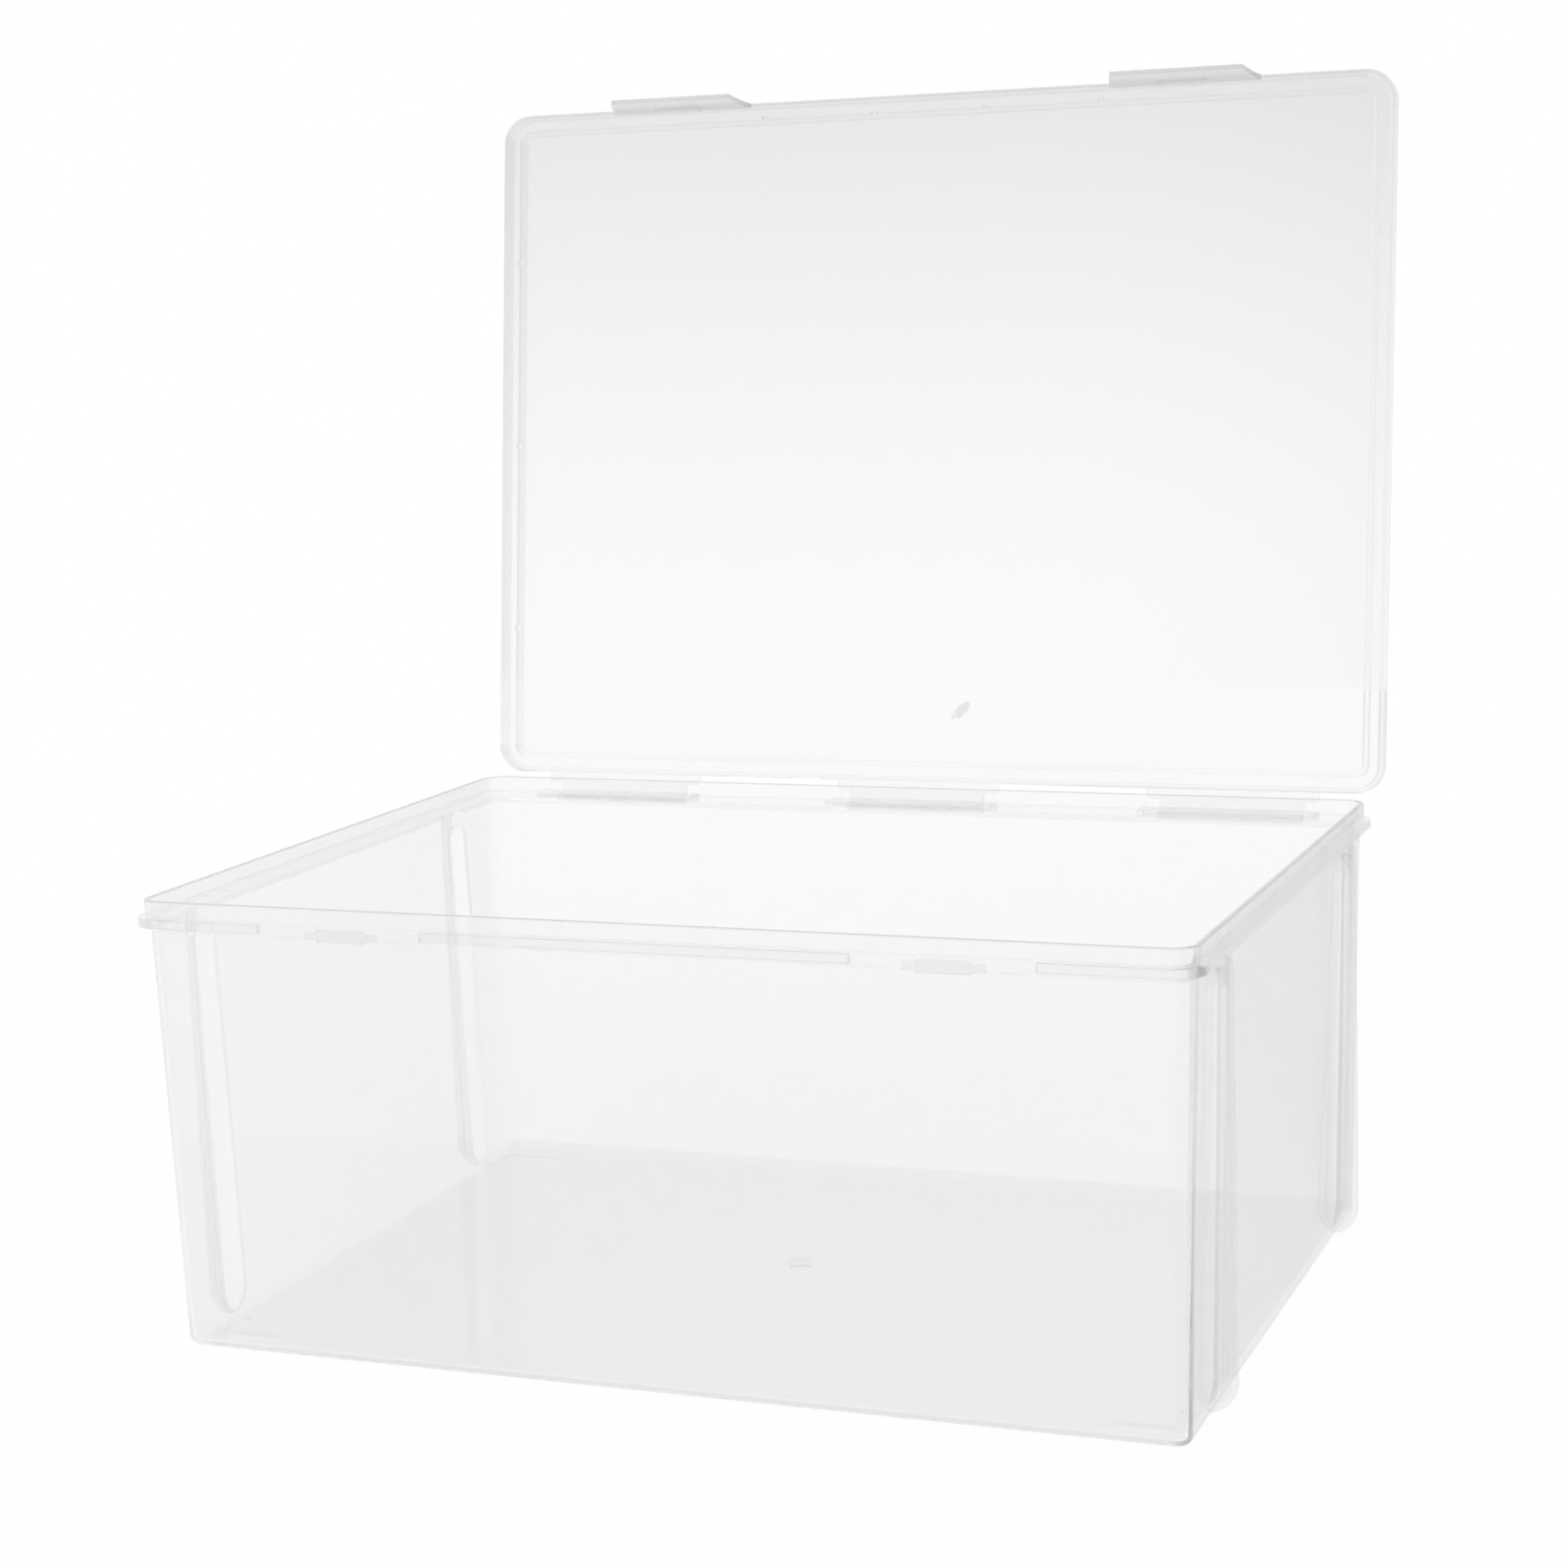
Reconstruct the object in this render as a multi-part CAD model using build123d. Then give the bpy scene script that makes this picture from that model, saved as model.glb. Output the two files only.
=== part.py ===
"""CD storage box in translucent polypropylene, with a hook-hinged lid and two snap tabs.

Millimetres. X runs left to right, Y from the front to the back, Z up.
The origin is the centre of the floor's underside, where the box stands.
The lid and its tabs are built closed, as they sit on the box, and are then swung open.
"""
from build123d import *
from math import acos, atan2, cos, degrees, radians, sin, tan
import os

os.makedirs("parts", exist_ok=True)

# Box
lip_length = 300.0  # outside of the lip, left to right
lip_depth = 219.5  # outside of the lip, front to back
box_height = 129.6  # floor's underside to the lip's top edge
wall = 1.8
floor_thickness = 1.8
draft = 1.45  # degrees that each wall leans outward
floor_corner = 4.0  # plan radius of the upright corners at the floor
floor_round = 3.0  # rounding between the floor and the walls, outside
floor_round_inside = 1.5

# Lip and flange
lip_height = 4.9  # lip above the flange
lip_wall = 1.6
lip_corner = 7.0
lip_round = 0.35  # softening of the lip's top edge
lip_step = 1.0  # the lip stands this far outside the wall
flange_overhang = 2.0  # the flange stands this far outside the lip
flange_thickness = 2.4
cove_height = 1.6  # slope under the flange, down to the wall

# Hollow half-round pilasters on the side walls
pilaster_radius = 8.0
pilaster_proud = 2.2  # outer face beyond the lip's outer face
pilaster_pitch = 158.0  # between the front one and the rear one of a wall
pilaster_foot = 1.0  # lowest point above the floor's underside
pilaster_head = 3.0  # the hollow ends this far under the flange

# Lid
plate_thickness = 1.8
skirt_wall = 1.5
plate_gap = 0.2  # plate above the lip, and skirt above the flange, when closed
plate_edge_round = 0.9
rib_wall = 1.6
rib_height = 3.2
rib_gap = 1.4  # between the rib and the inside of the lip
nub_width = 1.6
nub_reach = 0.9  # how far a spacer nub stands out of the rib
nub_height = 2.4
side_nub_pitch = 62.5
front_nub_pitch = 38.4

# Hinges
open_angle = 97.3  # degrees between closed and open
hinge_pitch = 104.8
hinge_reach = 7.0  # hinge line behind the flange's rear edge
hinge_drop = 2.1  # hinge line below the flange's top
bar_radius = 1.4
hinge_clearance = 0.08  # running clearance round the bar
hook_thickness = 1.2
hook_wrap = 168.0  # degrees of the bar that a hook goes round
hook_width = 46.0
leaf_width = 55.2
leaf_length = 3.2  # wide part of a leaf, from the lid's rear face
leaf_corner = 1.5
ledge_width = 56.4
ledge_thickness = 1.0
ledge_gap = 0.3  # between a closed leaf and its ledge

# Snap tabs and their catches
latch_pitch = 171.4
latch_gap = 49.5  # break in the front flange
tab_side_gap = 0.3
tab_length = 12.0  # below the skirt's edge
tab_wall = 1.5
tab_flare = 1.4  # how far the free end stands out
tab_end_width = 42.0
tab_corner = 4.0
catch_width = 14.3
catch_height = 3.6
catch_top = 0.6  # below the flange's top
catch_proud = 0.25  # beyond the lip's outer face
ear_width = 22.3
ear_height = 2.2
ear_proud = 0.12
bead_width = 16.0
bead_height = 1.6
bead_gap = 0.25  # between the catch and the bead that snaps under it
bead_bite = 0.9  # how far the bead reaches behind the catch's front

# Marks that moulding leaves, and the L-shaped recesses under the floor's corners
gate_place = (-1.0, 5.0)  # where the box was filled, on the floor
gate_radius = 3.8
gate_rise = 0.6  # round swelling inside, over the well
well_radius = 3.0
well_depth = 0.8
lid_well_radius = 2.0  # round well at the middle of the lid's outer face
lid_well_depth = 0.5
lid_gate_radius = 1.1
lid_gate_sunk = 0.1  # its stub ends this far below the outer face
mark_width = 3.6
mark_depth = 0.5
mark_length = 20.0
mark_leg = 15.0
mark_side_inset = 3.6  # from the floor's side edge to the mark
mark_front_inset = 9.6

# Levels and places that follow from the sizes above
flange_top = box_height - lip_height
flange_bottom = flange_top - flange_thickness
skirt_edge = flange_top + plate_gap
plate_under = box_height + plate_gap
plate_top = plate_under + plate_thickness
lid_length = lip_length + 2 * flange_overhang
lid_depth = lip_depth + 2 * flange_overhang
lid_corner = lip_corner + flange_overhang
lean = tan(radians(draft))
floor_length = lip_length - 2 * lip_step - 2 * flange_top * lean
floor_depth = lip_depth - 2 * lip_step - 2 * flange_top * lean
front_lip = -lip_depth / 2
hinge_y = lid_depth / 2 + hinge_reach
hinge_z = flange_top - hinge_drop
hinge_line = Axis((0, hinge_y, hinge_z), (1, 0, 0))
latch_places = (-latch_pitch / 2, latch_pitch / 2)
hinge_places = (-hinge_pitch, 0, hinge_pitch)


def tapered(length, depth, corner, low, high, slope):
    """Rounded rectangle drawn at the low level, widening upward by slope degrees."""
    outline = Pos(0, 0, low) * RectangleRounded(length, depth, corner)
    return extrude(outline, amount=high - low, taper=-slope)


def slab(length, depth, corner, low, high):
    """Rounded rectangular block between two levels."""
    outline = Pos(0, 0, low) * RectangleRounded(length, depth, corner)
    return extrude(outline, amount=high - low)


def profile(points, width, centre):
    """Solid with a section drawn in Y and Z, and its width along X about a centre."""
    section = Plane.YZ.offset(centre - width / 2) * make_face(points)
    return extrude(section, amount=width)


def polygon(points):
    """Closed polyline through points given as (Y, Z)."""
    return Polyline(*points, close=True)


def capsule(radius, place, low, high):
    """Upright round bar with ball ends, centred at place."""
    x, y = place
    bar = Pos(x, y, low) * Cylinder(radius, high - low, align=(Align.CENTER, Align.CENTER, Align.MIN))
    return bar + Pos(x, y, low) * Sphere(radius) + Pos(x, y, high) * Sphere(radius)


def pilaster_places():
    """Centres of the four pilasters in plan."""
    across = lip_length / 2 + pilaster_proud - pilaster_radius
    return [(side * across, end * pilaster_pitch / 2) for side in (-1, 1) for end in (-1, 1)]


def tub():
    """Drafted walls and floor with the lip, the flange and the hollow pilasters."""
    outside = tapered(floor_length, floor_depth, floor_corner, 0, flange_top, draft)
    outside = fillet(outside.edges().group_by(Axis.Z)[0], floor_round)
    foot = pilaster_foot + pilaster_radius
    for place in pilaster_places():
        outside += capsule(pilaster_radius, place, foot, flange_bottom - pilaster_radius / 2)
    outside += slab(lip_length, lip_depth, lip_corner, flange_bottom, box_height)
    outside += flange()

    rise = floor_thickness * lean
    inside = tapered(
        floor_length - 2 * (wall - rise),
        floor_depth - 2 * (wall - rise),
        floor_corner - wall + rise,
        floor_thickness,
        flange_top,
        draft,
    )
    inside = fillet(inside.edges().group_by(Axis.Z)[0], floor_round_inside)
    hollow = pilaster_radius - wall
    for place in pilaster_places():
        inside += capsule(hollow, place, foot, flange_bottom - pilaster_head - hollow)
    lip_inside = slab(
        lip_length - 2 * lip_wall,
        lip_depth - 2 * lip_wall,
        lip_corner - lip_wall,
        flange_top,
        box_height + 1,
    )
    shell = outside - inside - lip_inside
    shell = fillet(shell.edges().group_by(Axis.Z)[-1], lip_round)
    return shell + floor_gate() - floor_wells()


def floor_gate():
    """Low round swelling on the floor, over the place where the box was filled."""
    x, y = gate_place
    height = floor_thickness + gate_rise
    disc = Pos(x, y, 0) * Cylinder(gate_radius, height, align=(Align.CENTER, Align.CENTER, Align.MIN))
    return fillet(disc.edges().group_by(Axis.Z)[-1], gate_rise / 2)


def floor_wells():
    """Recesses in the floor's underside: the round well of the gate, and an L at each corner."""
    x, y = gate_place
    wells = Pos(x, y, 0) * Cylinder(well_radius, 2 * well_depth)
    edge_x = floor_length / 2 - mark_side_inset
    edge_y = floor_depth / 2 - mark_front_inset
    corner = (Align.MAX, Align.MAX, Align.CENTER)
    foot = Pos(edge_x, edge_y, 0) * (
        Box(mark_length, mark_width, 2 * mark_depth, align=corner)
        + Box(mark_width, mark_leg, 2 * mark_depth, align=corner)
    )
    right_pair = foot + mirror(foot, Plane.XZ)
    return wells + right_pair + mirror(right_pair, Plane.YZ)


def flange():
    """Flange round the lip, with a sloped underside, broken in front where the tabs pass."""
    nose = slab(lid_length, lid_depth, lid_corner, flange_bottom, flange_top)
    low = flange_bottom - cove_height
    spread = 2 * low * lean
    cove = tapered(floor_length + spread, floor_depth + spread, floor_corner + low * lean, low, flange_bottom, 45)
    ring = nose + cove
    tall = flange_thickness + cove_height + 1
    for place in latch_places:
        ring -= Pos(place, front_lip, flange_top) * Box(
            latch_gap, 2 * flange_overhang + 2, 2 * tall, align=(Align.CENTER, Align.MAX, Align.CENTER)
        )
    return ring


def catch(place):
    """Block that a tab's bead snaps under, with a thin ear on each side."""
    root = front_lip + 2 * lip_step
    top = flange_top - catch_top
    middle = top - catch_height / 2
    block = Pos(place, root, middle) * Box(
        catch_width, root - front_lip + catch_proud, catch_height, align=(Align.CENTER, Align.MAX, Align.CENTER)
    )
    ears = Pos(place, root, middle) * Box(
        ear_width, root - front_lip + ear_proud, ear_height, align=(Align.CENTER, Align.MAX, Align.CENTER)
    )
    return block + ears


def leaf_line():
    """Angle about the hinge line, in degrees, at which a closed leaf's underside touches the bar."""
    back, rise = -hinge_reach, skirt_edge - hinge_z
    away = (back**2 + rise**2) ** 0.5
    return degrees(atan2(rise, back)) - degrees(acos((bar_radius + hinge_clearance) / away))


def round_hinge(radius, angle):
    """Point (Y, Z) at a radius and an angle about the hinge line."""
    return (hinge_y + radius * cos(radians(angle)), hinge_z + radius * sin(radians(angle)))


def along_leaf(offset, distance):
    """Point (Y, Z) beside the hinge line: offset square to the closed leaf, distance towards the lid."""
    square, along = radians(leaf_line()), radians(leaf_line() + 90)
    y = hinge_y + offset * cos(square) + distance * cos(along)
    z = hinge_z + offset * sin(square) + distance * sin(along)
    return (y, z)


def hinge_ledge(place):
    """Ledge behind the flange that carries a hinge bar along its rear edge."""
    top = bar_radius + hinge_clearance - ledge_gap
    root = hinge_reach + flange_overhang / 2
    gusset = bar_radius + hinge_clearance + hook_thickness + ledge_gap
    plate = [along_leaf(top, 0), along_leaf(top, root), along_leaf(top - ledge_thickness, root)]
    plate.append(along_leaf(top - ledge_thickness, 0))
    brace = [along_leaf(top - ledge_thickness / 2, gusset), along_leaf(top - ledge_thickness / 2, root)]
    brace += [(hinge_y - root, flange_bottom), (lid_depth / 2, flange_bottom)]
    bar = Pos(place, hinge_y, hinge_z) * Rot(0, 90, 0) * Cylinder(bar_radius, ledge_width)
    return profile(polygon(plate), ledge_width, place) + profile(polygon(brace), ledge_width, place) + bar


def hinge_leaf(place):
    """Leaf on the lid's rear edge that ends in a hook round the hinge bar."""
    inner, start = bar_radius + hinge_clearance, leaf_line()
    outer, stop = inner + hook_thickness, start - hook_wrap
    root = hinge_reach + skirt_wall / 2
    edge = [
        Line(along_leaf(inner, root), round_hinge(inner, start)),
        ThreePointArc(*[round_hinge(inner, a) for a in (start, (start + stop) / 2, stop)]),
        Line(round_hinge(inner, stop), round_hinge(outer, stop)),
        ThreePointArc(*[round_hinge(outer, a) for a in (stop, (start + stop) / 2, start)]),
        Line(round_hinge(outer, start), along_leaf(outer, root)),
        Line(along_leaf(outer, root), along_leaf(inner, root)),
    ]
    whole = profile(edge, leaf_width, place)
    rear = lid_depth / 2
    wide = Pos(place, rear + leaf_length) * RectangleRounded(
        leaf_width, 4 * leaf_length, leaf_corner, align=(Align.CENTER, Align.MAX)
    )
    narrow = Pos(place, rear) * Rectangle(hook_width, 4 * hinge_reach)
    return whole & extrude(Pos(0, 0, hinge_z) * (wide + narrow), amount=2 * lip_height, both=True)


def lid():
    """Plate with a skirt outside the lip, a sealing rib inside it, nubs and hinge leaves."""
    plate = slab(lid_length, lid_depth, lid_corner, skirt_edge, plate_top)
    plate = fillet(plate.edges().group_by(Axis.Z)[-1], plate_edge_round)
    hollow = slab(
        lid_length - 2 * skirt_wall, lid_depth - 2 * skirt_wall, lid_corner - skirt_wall, skirt_edge - 1, plate_under
    )
    inset = 2 * (lip_wall + rib_gap)
    rib_length, rib_depth = lip_length - inset, lip_depth - inset
    rib_corner = lip_corner - inset / 2
    low = plate_under - rib_height
    rib = slab(rib_length, rib_depth, rib_corner, low, plate_under) - slab(
        rib_length - 2 * rib_wall, rib_depth - 2 * rib_wall, rib_corner - rib_wall, low - 1, plate_under
    )
    shell = plate - hollow + rib
    for x, y in nub_places(rib_length / 2, rib_depth / 2):
        shell += Pos(x, y, plate_under) * Box(
            nub_width, nub_width, nub_height, align=(Align.CENTER, Align.CENTER, Align.MAX)
        )
    for place in hinge_places:
        shell += hinge_leaf(place)
    well = Pos(0, 0, plate_top) * Cylinder(lid_well_radius, 2 * lid_well_depth)
    stub_height = lid_well_depth - lid_gate_sunk
    stub = Pos(0, 0, plate_top - lid_well_depth) * Cylinder(
        lid_gate_radius, stub_height, align=(Align.CENTER, Align.CENTER, Align.MIN)
    )
    return shell - well + stub


def nub_places(half_length, half_depth):
    """Centres of the spacer nubs, whose outer faces stand nub_reach outside the rib."""
    out = nub_reach - nub_width / 2
    sides = [(side * (half_length + out), step * side_nub_pitch) for side in (-1, 1) for step in (-1, 0, 1)]
    front = [(step * front_nub_pitch, -half_depth - out) for step in (-1.5, -0.5, 0.5, 1.5)]
    return sides + front


def tab(place):
    """Snap tab that hangs from the skirt's front edge and flares outward to its free end."""
    bend = (tab_length**2 + tab_flare**2) / (2 * tab_flare)
    centre_y = -lid_depth / 2 - bend
    turn = degrees(atan2(tab_length, bend - tab_flare))

    def round_bend(radius, angle):
        return (centre_y + radius * cos(radians(angle)), skirt_edge - radius * sin(radians(angle)))

    outer, inner = bend, bend + tab_wall
    edge = [
        ThreePointArc(*[round_bend(inner, turn * part) for part in (0, 0.5, 1)]),
        Line(round_bend(inner, turn), round_bend(outer, turn)),
        ThreePointArc(*[round_bend(outer, turn * part) for part in (1, 0.5, 0)]),
        Line(round_bend(outer, 0), round_bend(inner, 0)),
    ]
    root_width = latch_gap - 2 * tab_side_gap
    blade = profile(edge, root_width, place)
    reach = tab_length + tab_wall
    outline = Polygon(
        (-root_width / 2, 0), (-tab_end_width / 2, -reach), (tab_end_width / 2, -reach), (root_width / 2, 0), align=None
    )
    outline = fillet(outline.vertices().sort_by(Axis.Y)[:2], tab_corner)
    front = Plane.XZ.offset(lid_depth / 2) * Pos(place, skirt_edge) * outline
    blade &= extrude(front, amount=2 * (tab_flare + tab_wall), both=True)

    def at_level(radius, level):
        return (centre_y + (radius**2 - (skirt_edge - level) ** 2) ** 0.5, level)

    top = flange_top - catch_top - catch_height - bead_gap
    low = top - bead_height
    tip = front_lip - catch_proud + bead_bite
    middle = bend + tab_wall / 2
    bead = [(tip, top), at_level(middle, top), at_level(middle, low), at_level(inner, low), (tip, top - bead_height / 3)]
    return blade + profile(polygon(bead), bead_width, place)


box = tub()
for place in latch_places:
    box += catch(place)
for place in hinge_places:
    box += hinge_ledge(place)

swung_open = {
    "lid": lid(),
    "left_latch_tab": tab(latch_places[0]),
    "right_latch_tab": tab(latch_places[1]),
}
export_step(box, "parts/storage_box.step")
for name, piece in swung_open.items():
    export_step(piece.rotate(hinge_line, -open_angle), f"parts/{name}.step")
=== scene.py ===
"""CD storage box of clear polypropylene, lid open, in a plain white studio.

Metres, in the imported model's frame: X left to right, Y from the front to the back, Z up.
"""
from math import cos, radians, sin

import bmesh
import bpy
from mathutils import Matrix, Vector


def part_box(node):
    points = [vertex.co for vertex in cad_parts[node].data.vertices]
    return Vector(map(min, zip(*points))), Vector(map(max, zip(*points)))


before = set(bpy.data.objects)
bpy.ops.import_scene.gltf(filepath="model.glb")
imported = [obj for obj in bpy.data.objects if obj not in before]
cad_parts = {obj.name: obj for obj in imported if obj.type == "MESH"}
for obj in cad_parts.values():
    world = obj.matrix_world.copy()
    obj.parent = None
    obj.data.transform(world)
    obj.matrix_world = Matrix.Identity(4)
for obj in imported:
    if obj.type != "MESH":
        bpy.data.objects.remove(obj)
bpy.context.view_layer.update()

mm = 0.001
white = (1, 1, 1, 1)
box_low, box_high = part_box("storage_box")

# Camera, at the photograph's viewing angle
camera_place = Vector((332.52, -838.35, 294.22)) * mm
camera_azimuth = radians(21.56)
camera_down = radians(9.18)
camera_roll = radians(-2.01)
picture_side = 1708
focal_pixels = 3422.4
sensor_width = 36.0

# Studio
floor_half = 1.3
floor_drop = 0.2 * mm  # under the box, so that the two faces don't share a plane
floor_white = 0.9
floor_glow = 0.9  # share of the floor that stays white to the camera under a shadow
shadow_end, open_floor_start = 0.25, 0.7  # from the middle; between them the floor turns all white
room_tone = 0.95
dark_tone = 0.36  # of the room overhead and on the right
overhead_start, overhead_end = 0.1, 0.6  # upward part of the direction
overhead_share = 0.6  # how far it darkens overhead alone
right_start, right_end = 0.21, 0.36  # rightward part of the direction
backdrop_top_tone = 0.8  # brightness of the upper backdrop as it shows through the plastic
backdrop_top_start, backdrop_top_end = -0.14, 0.06
backdrop_side_tone = 0.95  # the same towards the right
backdrop_side_start, backdrop_side_end = -0.3, -0.17
lamp_aim = Vector((0, 0, 0.1))

# Box and lid, where the plastic changes and where shade is painted
lean = 0.0253  # how far a wall leans out for each unit of height
side_wall_middle = 144.9 * mm  # middle of a side wall at the floor, from the centre
rear_wall_middle = 104.7 * mm
front_lip_face = -109.75 * mm
lip_foot = 124.7 * mm
corner_length, corner_width = 141.0 * mm, 101.0 * mm  # where the corners start, at the floor
corner_length_fade, corner_width_fade = 4 * mm, 2 * mm
pilaster_place = 79.0 * mm
pilaster_radius = 8.0 * mm
pilaster_sunk = 1.6 * mm  # from a pilaster's centre line to the wall's outer face, at the floor
groove_half = 0.4 * mm
foot_reach, foot_height = 4 * mm, 3 * mm  # of the place where the rear wall meets the floor
catch_place = 85.7 * mm
catch_half = 11.5 * mm
scuff_place = Vector((13.0, 0.0, 152.0)) * mm
scuff_radius = 5.5 * mm
scuff_narrow = 2.5  # how many times narrower than long
speck_scale = 700.0

# Plastic
ior = 1.49
rough_least, rough_most = 0.03, 0.08
flow_scale, grain_scale = 14.0, 900.0
flow_low, flow_high = 0.3, 0.7  # between them the plastic turns from least to most rough
grain_share = 0.02
wave_strength = 0.1
milkiness = 0.04
milk_colour = (0.86, 0.87, 0.87, 1)
milk_roughness = 0.35
absorption_colour = (0.9, 0.904, 0.904, 1)
absorption_density = 75.0
mirror_head_on = 0.04  # share of light mirrored by a face seen straight on
mirror_power = 5.0  # how steeply that share grows towards a grazing view
film_clearness = 0.973  # what one face lets through
tab_clearness = 0.93
glass_tint = 0.955
shadow_tint = 0.955
plain_bend = 0.15  # share of rays that the plastic bends
corner_bend = 0.6  # the same at the right-hand upright corners; real bending, but set higher only on the right as painted shade
corner_painted_shade = 0.05  # light that a face loses besides, at the right-hand corners: painted shade
groove_painted_shade = 0.08  # at the roots of the right-hand pilasters: painted shade in the creases
foot_painted_shade = 0.05  # where the rear wall meets the floor: painted shade in that crease
foot_shine = 0.15  # gloss left there
side_lip_loss = 0.03  # on the lip over the side walls
flange_loss = 0.03  # in front, on the flange
catch_loss = 0.06  # on the catches
lip_painted_shade = 0.18  # along the lip's top edge: painted shade for its dark edge line
scuff_loss = 0.12


def grey(value):
    return (value, value, value, 1)


def add_camera():
    """Camera that looks a little down at the box from the right, with the photograph's lens."""
    data = bpy.data.cameras.new("camera")
    data.sensor_width = sensor_width
    data.lens = focal_pixels / picture_side * sensor_width
    camera = bpy.data.objects.new("camera", data)
    bpy.context.scene.collection.objects.link(camera)
    ahead = Vector(
        (
            -sin(camera_azimuth) * cos(camera_down),
            cos(camera_azimuth) * cos(camera_down),
            -sin(camera_down),
        )
    )
    level = Vector((cos(camera_azimuth), sin(camera_azimuth), 0))
    above = level.cross(ahead)
    right = level * cos(camera_roll) + above * sin(camera_roll)
    up = above * cos(camera_roll) - level * sin(camera_roll)
    turn = Matrix((right, up, -ahead)).transposed()
    camera.matrix_world = Matrix.Translation(camera_place) @ turn.to_4x4()
    bpy.context.scene.camera = camera


class Nodes:
    """Short calls that add nodes to a tree and link them."""

    def __init__(self, tree):
        self.tree = tree
        tree.nodes.clear()

    def put(self, target, value):
        """Links an output to an input, or sets the input's own value."""
        if isinstance(value, bpy.types.NodeSocket):
            self.tree.links.new(value, target)
        else:
            target.default_value = value

    def add(self, kind, inputs=(), **settings):
        """New node with its settings, and its inputs by name or number."""
        node = self.tree.nodes.new(kind)
        for name, value in settings.items():
            setattr(node, name, value)
        for name, value in dict(inputs).items():
            self.put(node.inputs[name], value)
        return node

    def maths(self, operation, *values):
        return self.add("ShaderNodeMath", enumerate(values), operation=operation).outputs[0]

    def times(self, first, second):
        return self.maths("MULTIPLY", first, second)

    def less(self, first, second):
        return self.maths("SUBTRACT", first, second)

    def size(self, value):
        return self.maths("ABSOLUTE", value)

    def ramp(self, value, low, high, to_low=0.0, to_high=1.0):
        """Value carried from one range to another, held at the ends."""
        inputs = {"Value": value, "From Min": low, "From Max": high, "To Min": to_low, "To Max": to_high}
        return self.add("ShaderNodeMapRange", inputs).outputs["Result"]

    def near(self, value, middle, half, soft):
        """1 within a band about a middle value, fading out over a soft edge."""
        return self.ramp(self.size(self.less(value, middle)), half, half + soft, 1.0, 0.0)

    def noise(self, place, scale, detail):
        inputs = {"Vector": place, "Scale": scale, "Detail": detail}
        return self.add("ShaderNodeTexNoise", inputs).outputs["Fac"]

    def mix(self, share, first, second):
        return self.add("ShaderNodeMixShader", {0: share, 1: first, 2: second}).outputs[0]


def straight_view(nodes):
    """1 for a ray that has met nothing but clear walls since it left the camera."""
    path = nodes.add("ShaderNodeLightPath").outputs
    turns = nodes.maths("ADD", path["Diffuse Depth"], path["Glossy Depth"])
    return nodes.maths("LESS_THAN", turns, 0.5)


def behind_plastic(nodes):
    """1 for a ray that has passed a clear wall."""
    path = nodes.add("ShaderNodeLightPath").outputs
    walls = nodes.maths("ADD", path["Transparent Depth"], path["Transmission Depth"])
    return nodes.maths("GREATER_THAN", walls, 0.5)


def light_world():
    """White behind the object; for the rest a soft room, darker overhead and on the right."""
    world = bpy.data.worlds.new("studio")
    world.use_nodes = True
    bpy.context.scene.world = world
    nodes = Nodes(world.node_tree)
    place = nodes.add("ShaderNodeTexCoord").outputs["Generated"]
    axes = nodes.add("ShaderNodeSeparateXYZ", {0: place}).outputs
    overhead = nodes.ramp(axes["Z"], overhead_start, overhead_end, 0.0, overhead_share)
    right = nodes.ramp(axes["X"], right_start, right_end)
    shade = nodes.maths("MINIMUM", nodes.maths("ADD", overhead, right), 1.0)
    strength = nodes.ramp(shade, 0.0, 1.0, room_tone, dark_tone)
    room = nodes.add("ShaderNodeBackground", {"Color": white, "Strength": strength}).outputs[0]
    height = nodes.ramp(axes["Z"], backdrop_top_start, backdrop_top_end)
    top_loss = nodes.times(nodes.times(height, height), 1.0 - backdrop_top_tone)
    aside = nodes.ramp(axes["X"], backdrop_side_start, backdrop_side_end)
    side_loss = nodes.times(nodes.times(aside, aside), 1.0 - backdrop_side_tone)
    loss = nodes.times(nodes.maths("ADD", top_loss, side_loss), behind_plastic(nodes))
    dim = nodes.less(1.0, loss)
    backdrop = nodes.add("ShaderNodeBackground", {"Color": white, "Strength": dim}).outputs[0]
    shown = nodes.mix(straight_view(nodes), room, backdrop)
    nodes.add("ShaderNodeOutputWorld", {"Surface": shown})


def add_lamp(name, place, size, power):
    """Round soft lamp aimed at the box and kept out of its gloss."""
    data = bpy.data.lights.new(name, "AREA")
    data.shape = "DISK"
    data.size = size
    data.energy = power
    lamp = bpy.data.objects.new(name, data)
    lamp.visible_glossy = False
    bpy.context.scene.collection.objects.link(lamp)
    lamp.location = place
    lamp.rotation_mode = "QUATERNION"
    lamp.rotation_quaternion = (lamp_aim - Vector(place)).to_track_quat("-Z", "Y")


def add_floor():
    """Pale floor: white to the camera, with the object's soft shadow on it."""
    mesh = bpy.data.meshes.new("floor")
    shape = bmesh.new()
    bmesh.ops.create_grid(shape, x_segments=1, y_segments=1, size=floor_half)
    shape.to_mesh(mesh)
    shape.free()
    floor = bpy.data.objects.new("floor", mesh)
    floor.location = (0, 0, box_low.z - floor_drop)
    bpy.context.scene.collection.objects.link(floor)
    material = bpy.data.materials.new("white_floor")
    material.use_nodes = True
    nodes = Nodes(material.node_tree)
    place = nodes.add("ShaderNodeTexCoord").outputs["Object"]
    away = nodes.add("ShaderNodeVectorMath", {0: place}, operation="LENGTH").outputs["Value"]
    paint = nodes.add("ShaderNodeBsdfDiffuse", {"Color": grey(floor_white)}).outputs[0]
    glow = nodes.add("ShaderNodeEmission", {"Color": white}).outputs[0]
    glowing = nodes.ramp(away, shadow_end, open_floor_start, floor_glow, 1.0)
    share = nodes.times(straight_view(nodes), glowing)
    nodes.add("ShaderNodeOutputMaterial", {"Surface": nodes.mix(share, paint, glow)})
    mesh.materials.append(material)


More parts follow.
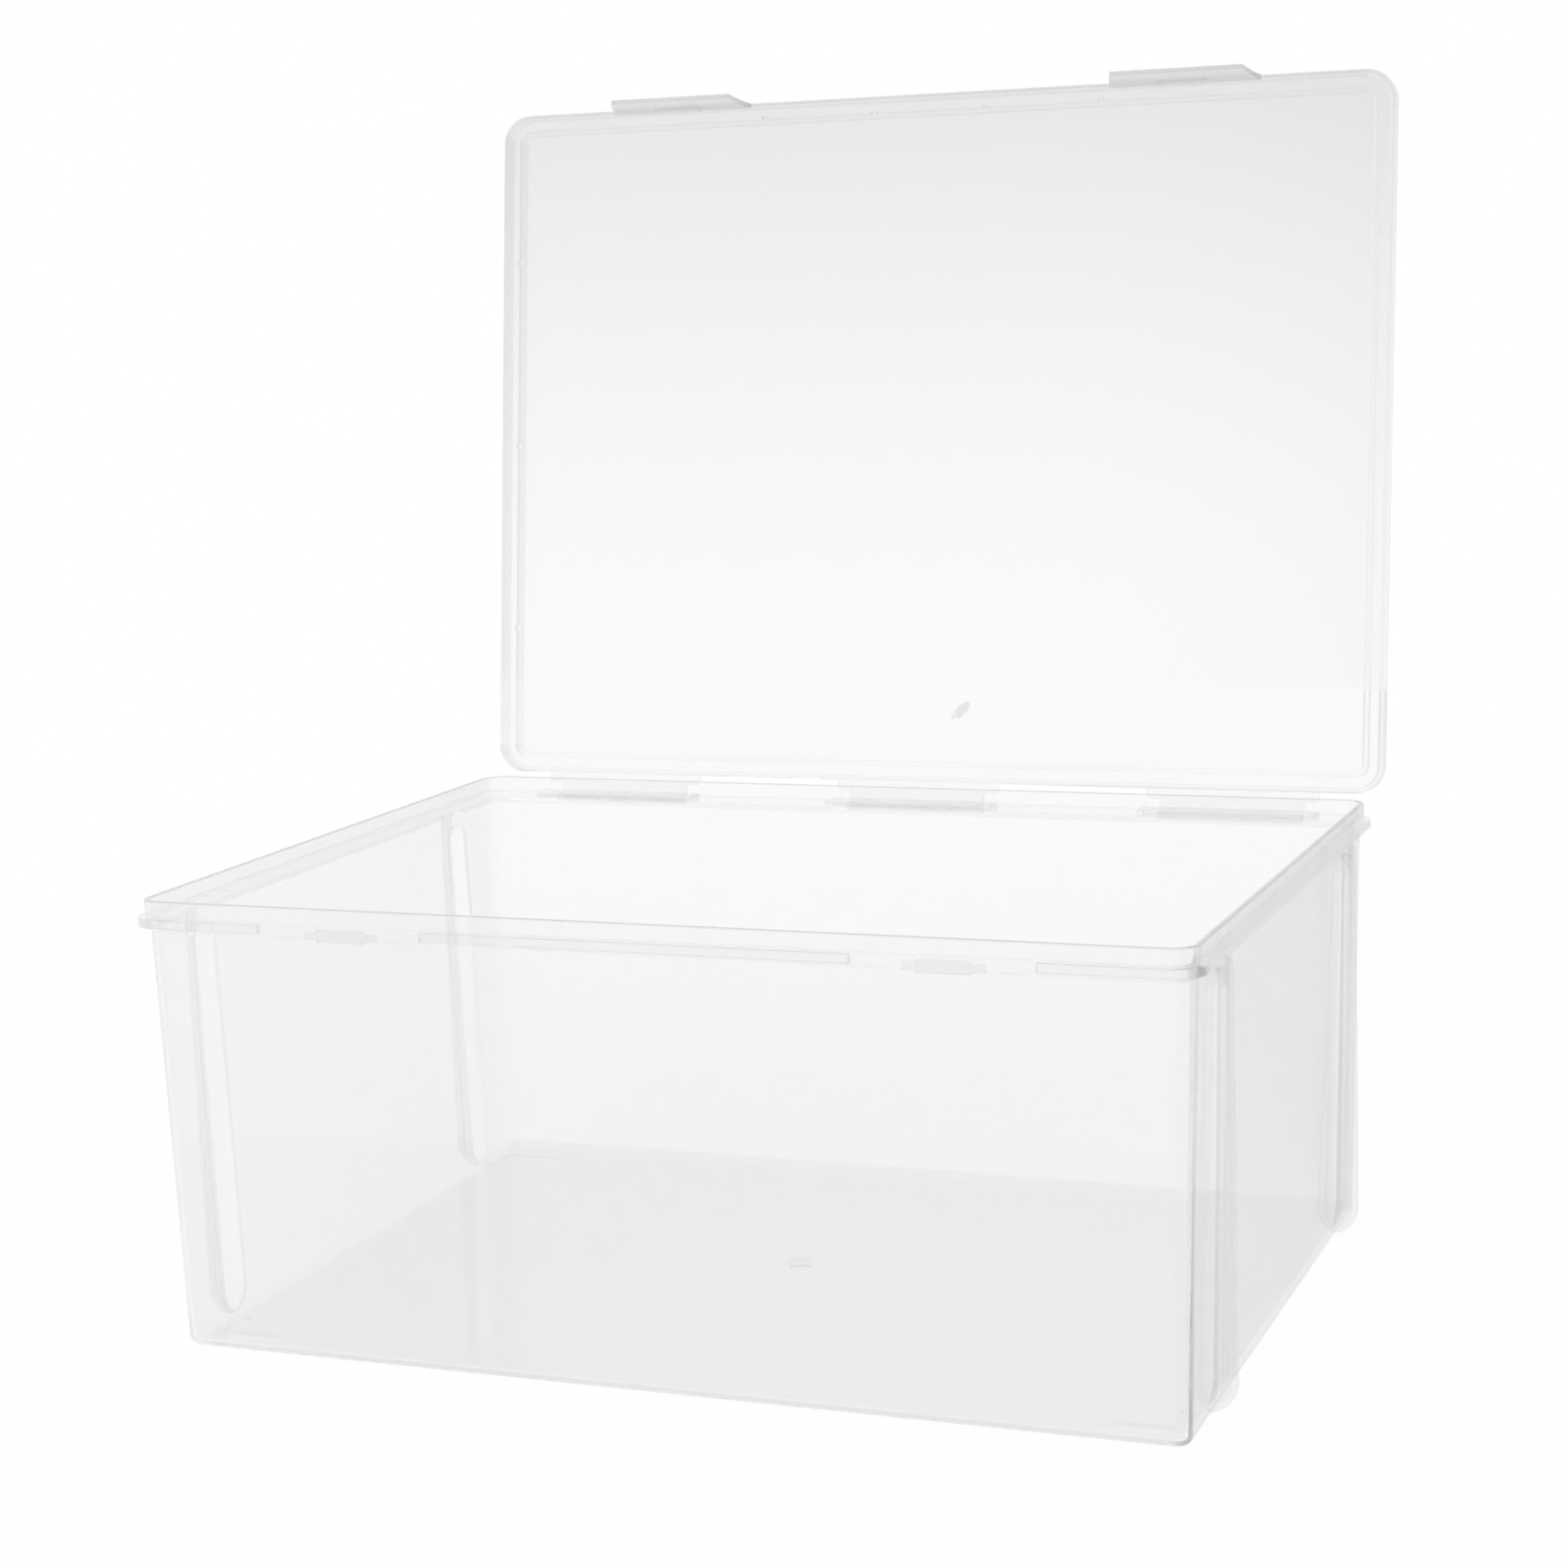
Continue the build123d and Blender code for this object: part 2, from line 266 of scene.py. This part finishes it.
def box_zones(nodes, place):
    """Share of rays bent, light let through and gloss left, over the box, with painted shade at the
    right-hand corners, pilaster roots, rear foot and lip top.
    """
    x, y, z = nodes.add("ShaderNodeSeparateXYZ", {0: place}).outputs
    leaning = nodes.times(z, lean)
    side, end = nodes.size(x), nodes.size(y)
    beyond = nodes.less(nodes.less(side, leaning), side_wall_middle)

    # The corners on the right, darkened by more bending and a darker tint: painted shade
    rightward, across = nodes.less(x, leaning), nodes.less(end, leaning)
    by_end = nodes.ramp(rightward, corner_length, corner_length + corner_length_fade)
    by_front = nodes.ramp(across, corner_width, corner_width + corner_width_fade)
    corner = nodes.times(by_end, by_front)
    bends = nodes.ramp(corner, 0.0, 1.0, plain_bend, corner_bend)

    # The pilasters' roots on the right, darkened with painted shade in the creases: their distance from
    # the middle is a chord of the round
    sunk = nodes.maths("ADD", leaning, pilaster_sunk)
    half = nodes.maths("SQRT", nodes.less(pilaster_radius**2, nodes.times(sunk, sunk)))
    past_root = nodes.less(nodes.size(nodes.less(end, pilaster_place)), half)
    outside = nodes.times(nodes.ramp(beyond, 0.2 * mm, 0.6 * mm), nodes.ramp(x, 0.0, mm))
    groove = nodes.times(nodes.near(past_root, -groove_half, groove_half, groove_half), outside)

    # The rear of the floor, with painted shade where it meets the rear wall, and what stands in front of
    # the lip
    rear = nodes.ramp(y, rear_wall_middle - foot_reach - mm, rear_wall_middle - foot_reach)
    foot = nodes.times(rear, nodes.ramp(z, foot_height + mm, foot_height))
    front = nodes.ramp(y, front_lip_face - 0.04 * mm, front_lip_face - 0.1 * mm)
    catch = nodes.times(front, nodes.near(side, catch_place, catch_half, 0.2 * mm))

    # The lip, with painted shade along its top edge
    lip_top = nodes.ramp(z, box_high.z - 0.4 * mm, box_high.z - 0.1 * mm)
    side_lip = nodes.times(nodes.ramp(beyond, 0.0, mm), nodes.ramp(z, lip_foot, lip_foot + mm))

    passed = film_clearness
    for zone, loss in (
        # painted shade at the right-hand corners
        (corner, corner_painted_shade),
        # painted shade in the creases at the right-hand pilasters' roots
        (groove, groove_painted_shade),
        # painted shade where the rear wall meets the floor
        (foot, foot_painted_shade),
        (front, flange_loss),
        (catch, catch_loss),
        # painted shade along the lip's top edge
        (lip_top, lip_painted_shade),
        (side_lip, side_lip_loss),
    ):
        passed = nodes.times(passed, nodes.ramp(zone, 0.0, 1.0, 1.0, 1.0 - loss))
    return bends, passed, nodes.ramp(foot, 0.0, 1.0, 1.0, foot_shine)


def lid_zones(nodes, place):
    """The same over the lid, with a small slanting scuff near its rear edge."""
    offset = nodes.add("ShaderNodeVectorMath", {0: place, 1: scuff_place}, operation="SUBTRACT").outputs[0]
    x, _, z = nodes.add("ShaderNodeSeparateXYZ", {0: offset}).outputs
    length = nodes.maths("ADD", x, z)
    width = nodes.times(nodes.less(x, z), scuff_narrow)
    away = nodes.maths("SQRT", nodes.maths("ADD", nodes.times(length, length), nodes.times(width, width)))
    ragged = nodes.times(nodes.noise(place, speck_scale, 2.0), 2 * scuff_radius)
    scuff = nodes.ramp(nodes.less(away, ragged), -mm, 0.0, 1.0, 0.0)
    passed = nodes.ramp(scuff, 0.0, 1.0, film_clearness, film_clearness * (1.0 - scuff_loss))
    return plain_bend, passed, 1.0


def tab_zones(nodes, place):
    """The same on the tabs, which look darker throughout."""
    return plain_bend, tab_clearness, 1.0


def plastic(name, zones):
    """Clear polypropylene: a glossy, faintly milky film to most rays, and glass to the rest."""
    material = bpy.data.materials.new(name)
    material.use_nodes = True
    nodes = Nodes(material.node_tree)
    place = nodes.add("ShaderNodeTexCoord").outputs["Object"]
    flow = nodes.noise(place, flow_scale, 3.0)
    rough = nodes.ramp(flow, flow_low, flow_high, rough_least, rough_most)
    waves = nodes.maths("MULTIPLY_ADD", nodes.noise(place, grain_scale, 2.0), grain_share, flow)
    bump = nodes.add(
        "ShaderNodeBump", {"Height": waves, "Strength": wave_strength, "Distance": mm}
    ).outputs[0]
    share, passed, shine = zones(nodes, place)

    milky = nodes.add(
        "ShaderNodeBsdfPrincipled",
        {"Base Color": milk_colour, "Roughness": milk_roughness, "IOR": ior, "Normal": bump},
    ).outputs[0]
    glass = nodes.add(
        "ShaderNodeBsdfPrincipled",
        {
            "Base Color": grey(glass_tint),
            "Roughness": rough,
            "IOR": ior,
            "Transmission Weight": 1.0,
            "Normal": bump,
        },
    ).outputs[0]

    gloss = nodes.add(
        "ShaderNodeBsdfAnisotropic", {"Color": white, "Roughness": rough, "Normal": bump}
    ).outputs[0]
    facing = nodes.add("ShaderNodeLayerWeight", {"Blend": 0.5}).outputs["Facing"]
    grazing = nodes.maths("POWER", facing, mirror_power)
    mirror = nodes.maths("MULTIPLY_ADD", grazing, 1.0 - mirror_head_on, mirror_head_on)
    mirror = nodes.times(mirror, shine)
    if isinstance(passed, float):
        tint = grey(passed)
    else:
        tint = nodes.add("ShaderNodeCombineColor", {0: passed, 1: passed, 2: passed}).outputs[0]
    film = nodes.mix(mirror, nodes.add("ShaderNodeBsdfTransparent", {"Color": tint}).outputs[0], gloss)

    # A ray is bent or not by the first face that it meets, and stays so to the end of its path
    path = nodes.add("ShaderNodeLightPath").outputs
    bent = nodes.maths("GREATER_THAN", path["Transmission Depth"], 0.5)
    unmet = nodes.maths("LESS_THAN", path["Transparent Depth"], 0.5)
    bends = nodes.maths("MAXIMUM", bent, nodes.times(unmet, share))
    seen = nodes.mix(milkiness, nodes.mix(bends, film, glass), milky)
    shade = nodes.add("ShaderNodeBsdfTransparent", {"Color": grey(shadow_tint)}).outputs[0]
    surface = nodes.mix(path["Is Shadow Ray"], seen, shade)
    inside = nodes.add(
        "ShaderNodeVolumeAbsorption", {"Color": absorption_colour, "Density": absorption_density}
    ).outputs[0]
    nodes.add("ShaderNodeOutputMaterial", {"Surface": surface, "Volume": inside})
    return material


def dress(node, material):
    """Gives a carried-over part its material."""
    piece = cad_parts[node]
    piece.data.materials.clear()
    piece.data.materials.append(material)


scene = bpy.context.scene
scene.view_settings.view_transform = "Standard"
scene.cycles.max_bounces = 32
scene.cycles.transmission_bounces = 24
scene.cycles.transparent_max_bounces = 64
scene.cycles.glossy_bounces = 12

add_camera()
light_world()
add_floor()
add_lamp("key_lamp", place=(-1.2, -0.9, 1.8), size=1.4, power=28)
add_lamp("fill_lamp", place=(1.6, -1.2, 1.2), size=1.6, power=10)

dress("storage_box", plastic("box_plastic", box_zones))
dress("lid", plastic("lid_plastic", lid_zones))
tab_plastic = plastic("tab_plastic", tab_zones)
dress("left_latch_tab", tab_plastic)
dress("right_latch_tab", tab_plastic)
